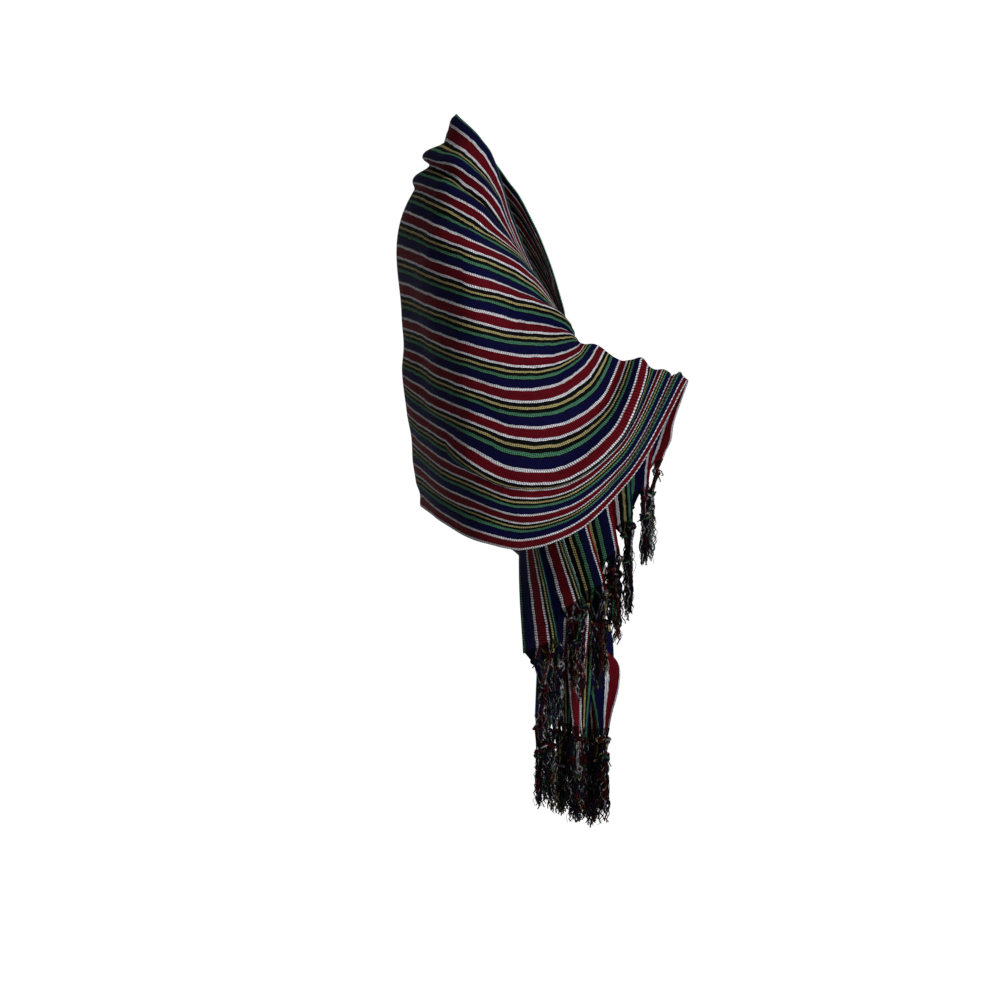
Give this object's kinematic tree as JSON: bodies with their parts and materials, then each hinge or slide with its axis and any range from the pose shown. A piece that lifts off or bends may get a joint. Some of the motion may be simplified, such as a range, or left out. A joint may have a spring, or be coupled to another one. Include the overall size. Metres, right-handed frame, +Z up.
{
  "type": "fringed shawl worn over both forearms",
  "caption": "Striped woven rectangle worn over nape, shoulders and arms, carried over both forearms to hanging pleated tails with knotted fringe.",
  "frame": {"origin": "root of the neck, midway between the shoulders and level with their tops, where the wearer carries the cloth", "axes": "+X is the wearer's front, +Y the wearer's left, +Z up"},
  "size_m": [0.4278, 0.5939, 1.0779],
  "materials": {
    "cloth": "ribbed striped cotton weave: red, white, navy, green, yellow and black stripes",
    "yarn": "loose and knotted cotton yarns in the stripes' colours"
  },
  "bodies": {
    "root": {"back_drape": "cloth", "left_shoulder_drape": "cloth", "right_shoulder_drape": "cloth", "left_forearm_drape": "cloth", "right_forearm_drape": "cloth", "left_tail": "cloth", "right_tail": "cloth", "left_fringe": "yarn", "right_fringe": "yarn"}
  },
  "joints": []
}
